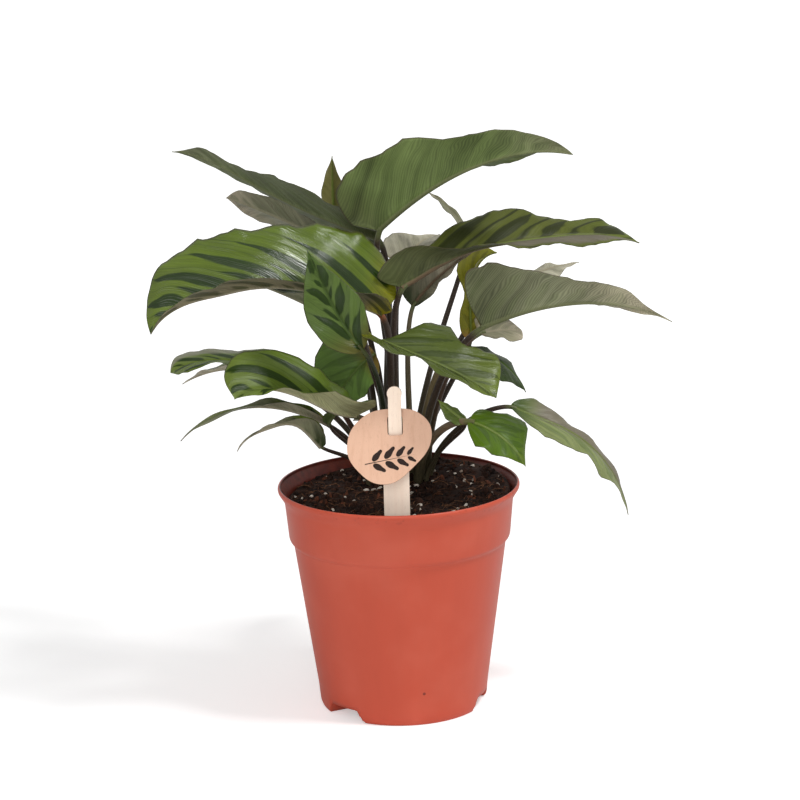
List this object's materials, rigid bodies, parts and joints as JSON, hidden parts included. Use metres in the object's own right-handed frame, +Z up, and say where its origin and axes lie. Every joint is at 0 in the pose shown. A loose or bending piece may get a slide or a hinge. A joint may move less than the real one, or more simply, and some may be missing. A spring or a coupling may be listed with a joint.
{
  "type": "potted calathea",
  "caption": "Young striped-leaf calathea in a terracotta-coloured plastic nursery pot, with potting soil and a plain wooden stake and tag.",
  "frame": {"origin": "centre of the pot's flat bottom, on the surface it stands on", "axes": "+Z up, -Y towards the side that the wooden tag faces, +X to the right of that side"},
  "size_m": [0.25, 0.1813, 0.2885],
  "materials": {
    "pot_plastic": "terracotta-coloured polypropylene, fine moulded sheen",
    "potting_soil": "loose moist peat mix with white perlite grains",
    "bare_wood": "bare sanded birch",
    "leaf_stem": "smooth living stem, brown green",
    "leaf_green": "striped living leaf, satin",
    "leaf_bright": "striped living leaf, light green, satin",
    "leaf_dark": "living leaf, dark green, satin",
    "leaf_underside": "living leaf seen from its dull grey-green underside",
    "leaf_yellowing": "ageing leaf, yellow with brown blotches"
  },
  "bodies": {
    "root": {"pot": "pot_plastic", "soil": "potting_soil", "stake": "bare_wood", "tag": "bare_wood", "stem_top_right": "leaf_stem", "blade_top_right": "leaf_underside", "stem_top_left": "leaf_stem", "blade_top_left": "leaf_underside", "stem_broad_left": "leaf_stem", "blade_broad_left": "leaf_bright", "stem_inner_left": "leaf_stem", "blade_inner_left": "leaf_green", "stem_young_top": "leaf_stem", "blade_young_top": "leaf_bright", "stem_upper_right": "leaf_stem", "blade_upper_right": "leaf_green", "stem_long_right": "leaf_stem", "blade_long_right": "leaf_underside", "stem_centre_front": "leaf_stem", "blade_centre_front": "leaf_green", "stem_small_right": "leaf_stem", "blade_small_right": "leaf_dark", "stem_low_right": "leaf_stem", "blade_low_right": "leaf_bright", "stem_drooping_right": "leaf_stem", "blade_drooping_right": "leaf_green", "stem_front_left": "leaf_stem", "blade_front_left": "leaf_green", "stem_middle_left": "leaf_stem", "blade_middle_left": "leaf_green", "stem_thin_left": "leaf_stem", "blade_thin_left": "leaf_underside", "stem_low_left": "leaf_stem", "blade_low_left": "leaf_underside", "stem_lowest_left": "leaf_stem", "blade_lowest_left": "leaf_green", "stem_shaded_centre": "leaf_stem", "blade_shaded_centre": "leaf_dark", "stem_rear_left": "leaf_stem", "blade_rear_left": "leaf_underside", "stem_rear_centre": "leaf_stem", "blade_rear_centre": "leaf_underside", "stem_rear_top": "leaf_stem", "blade_rear_top": "leaf_underside", "stem_rear_right": "leaf_stem", "blade_rear_right": "leaf_underside", "stem_rear_low": "leaf_stem", "blade_rear_low": "leaf_green", "stem_under_right": "leaf_stem", "blade_under_right": "leaf_underside", "stem_yellowing": "leaf_stem", "blade_yellowing": "leaf_yellowing", "stem_rear_inner": "leaf_stem", "blade_rear_inner": "leaf_underside", "stem_under_left": "leaf_stem", "blade_under_left": "leaf_dark", "stem_sprout_left": "leaf_stem", "blade_sprout_left": "leaf_bright", "stem_sprout_right": "leaf_stem", "blade_sprout_right": "leaf_underside"}
  },
  "joints": []
}
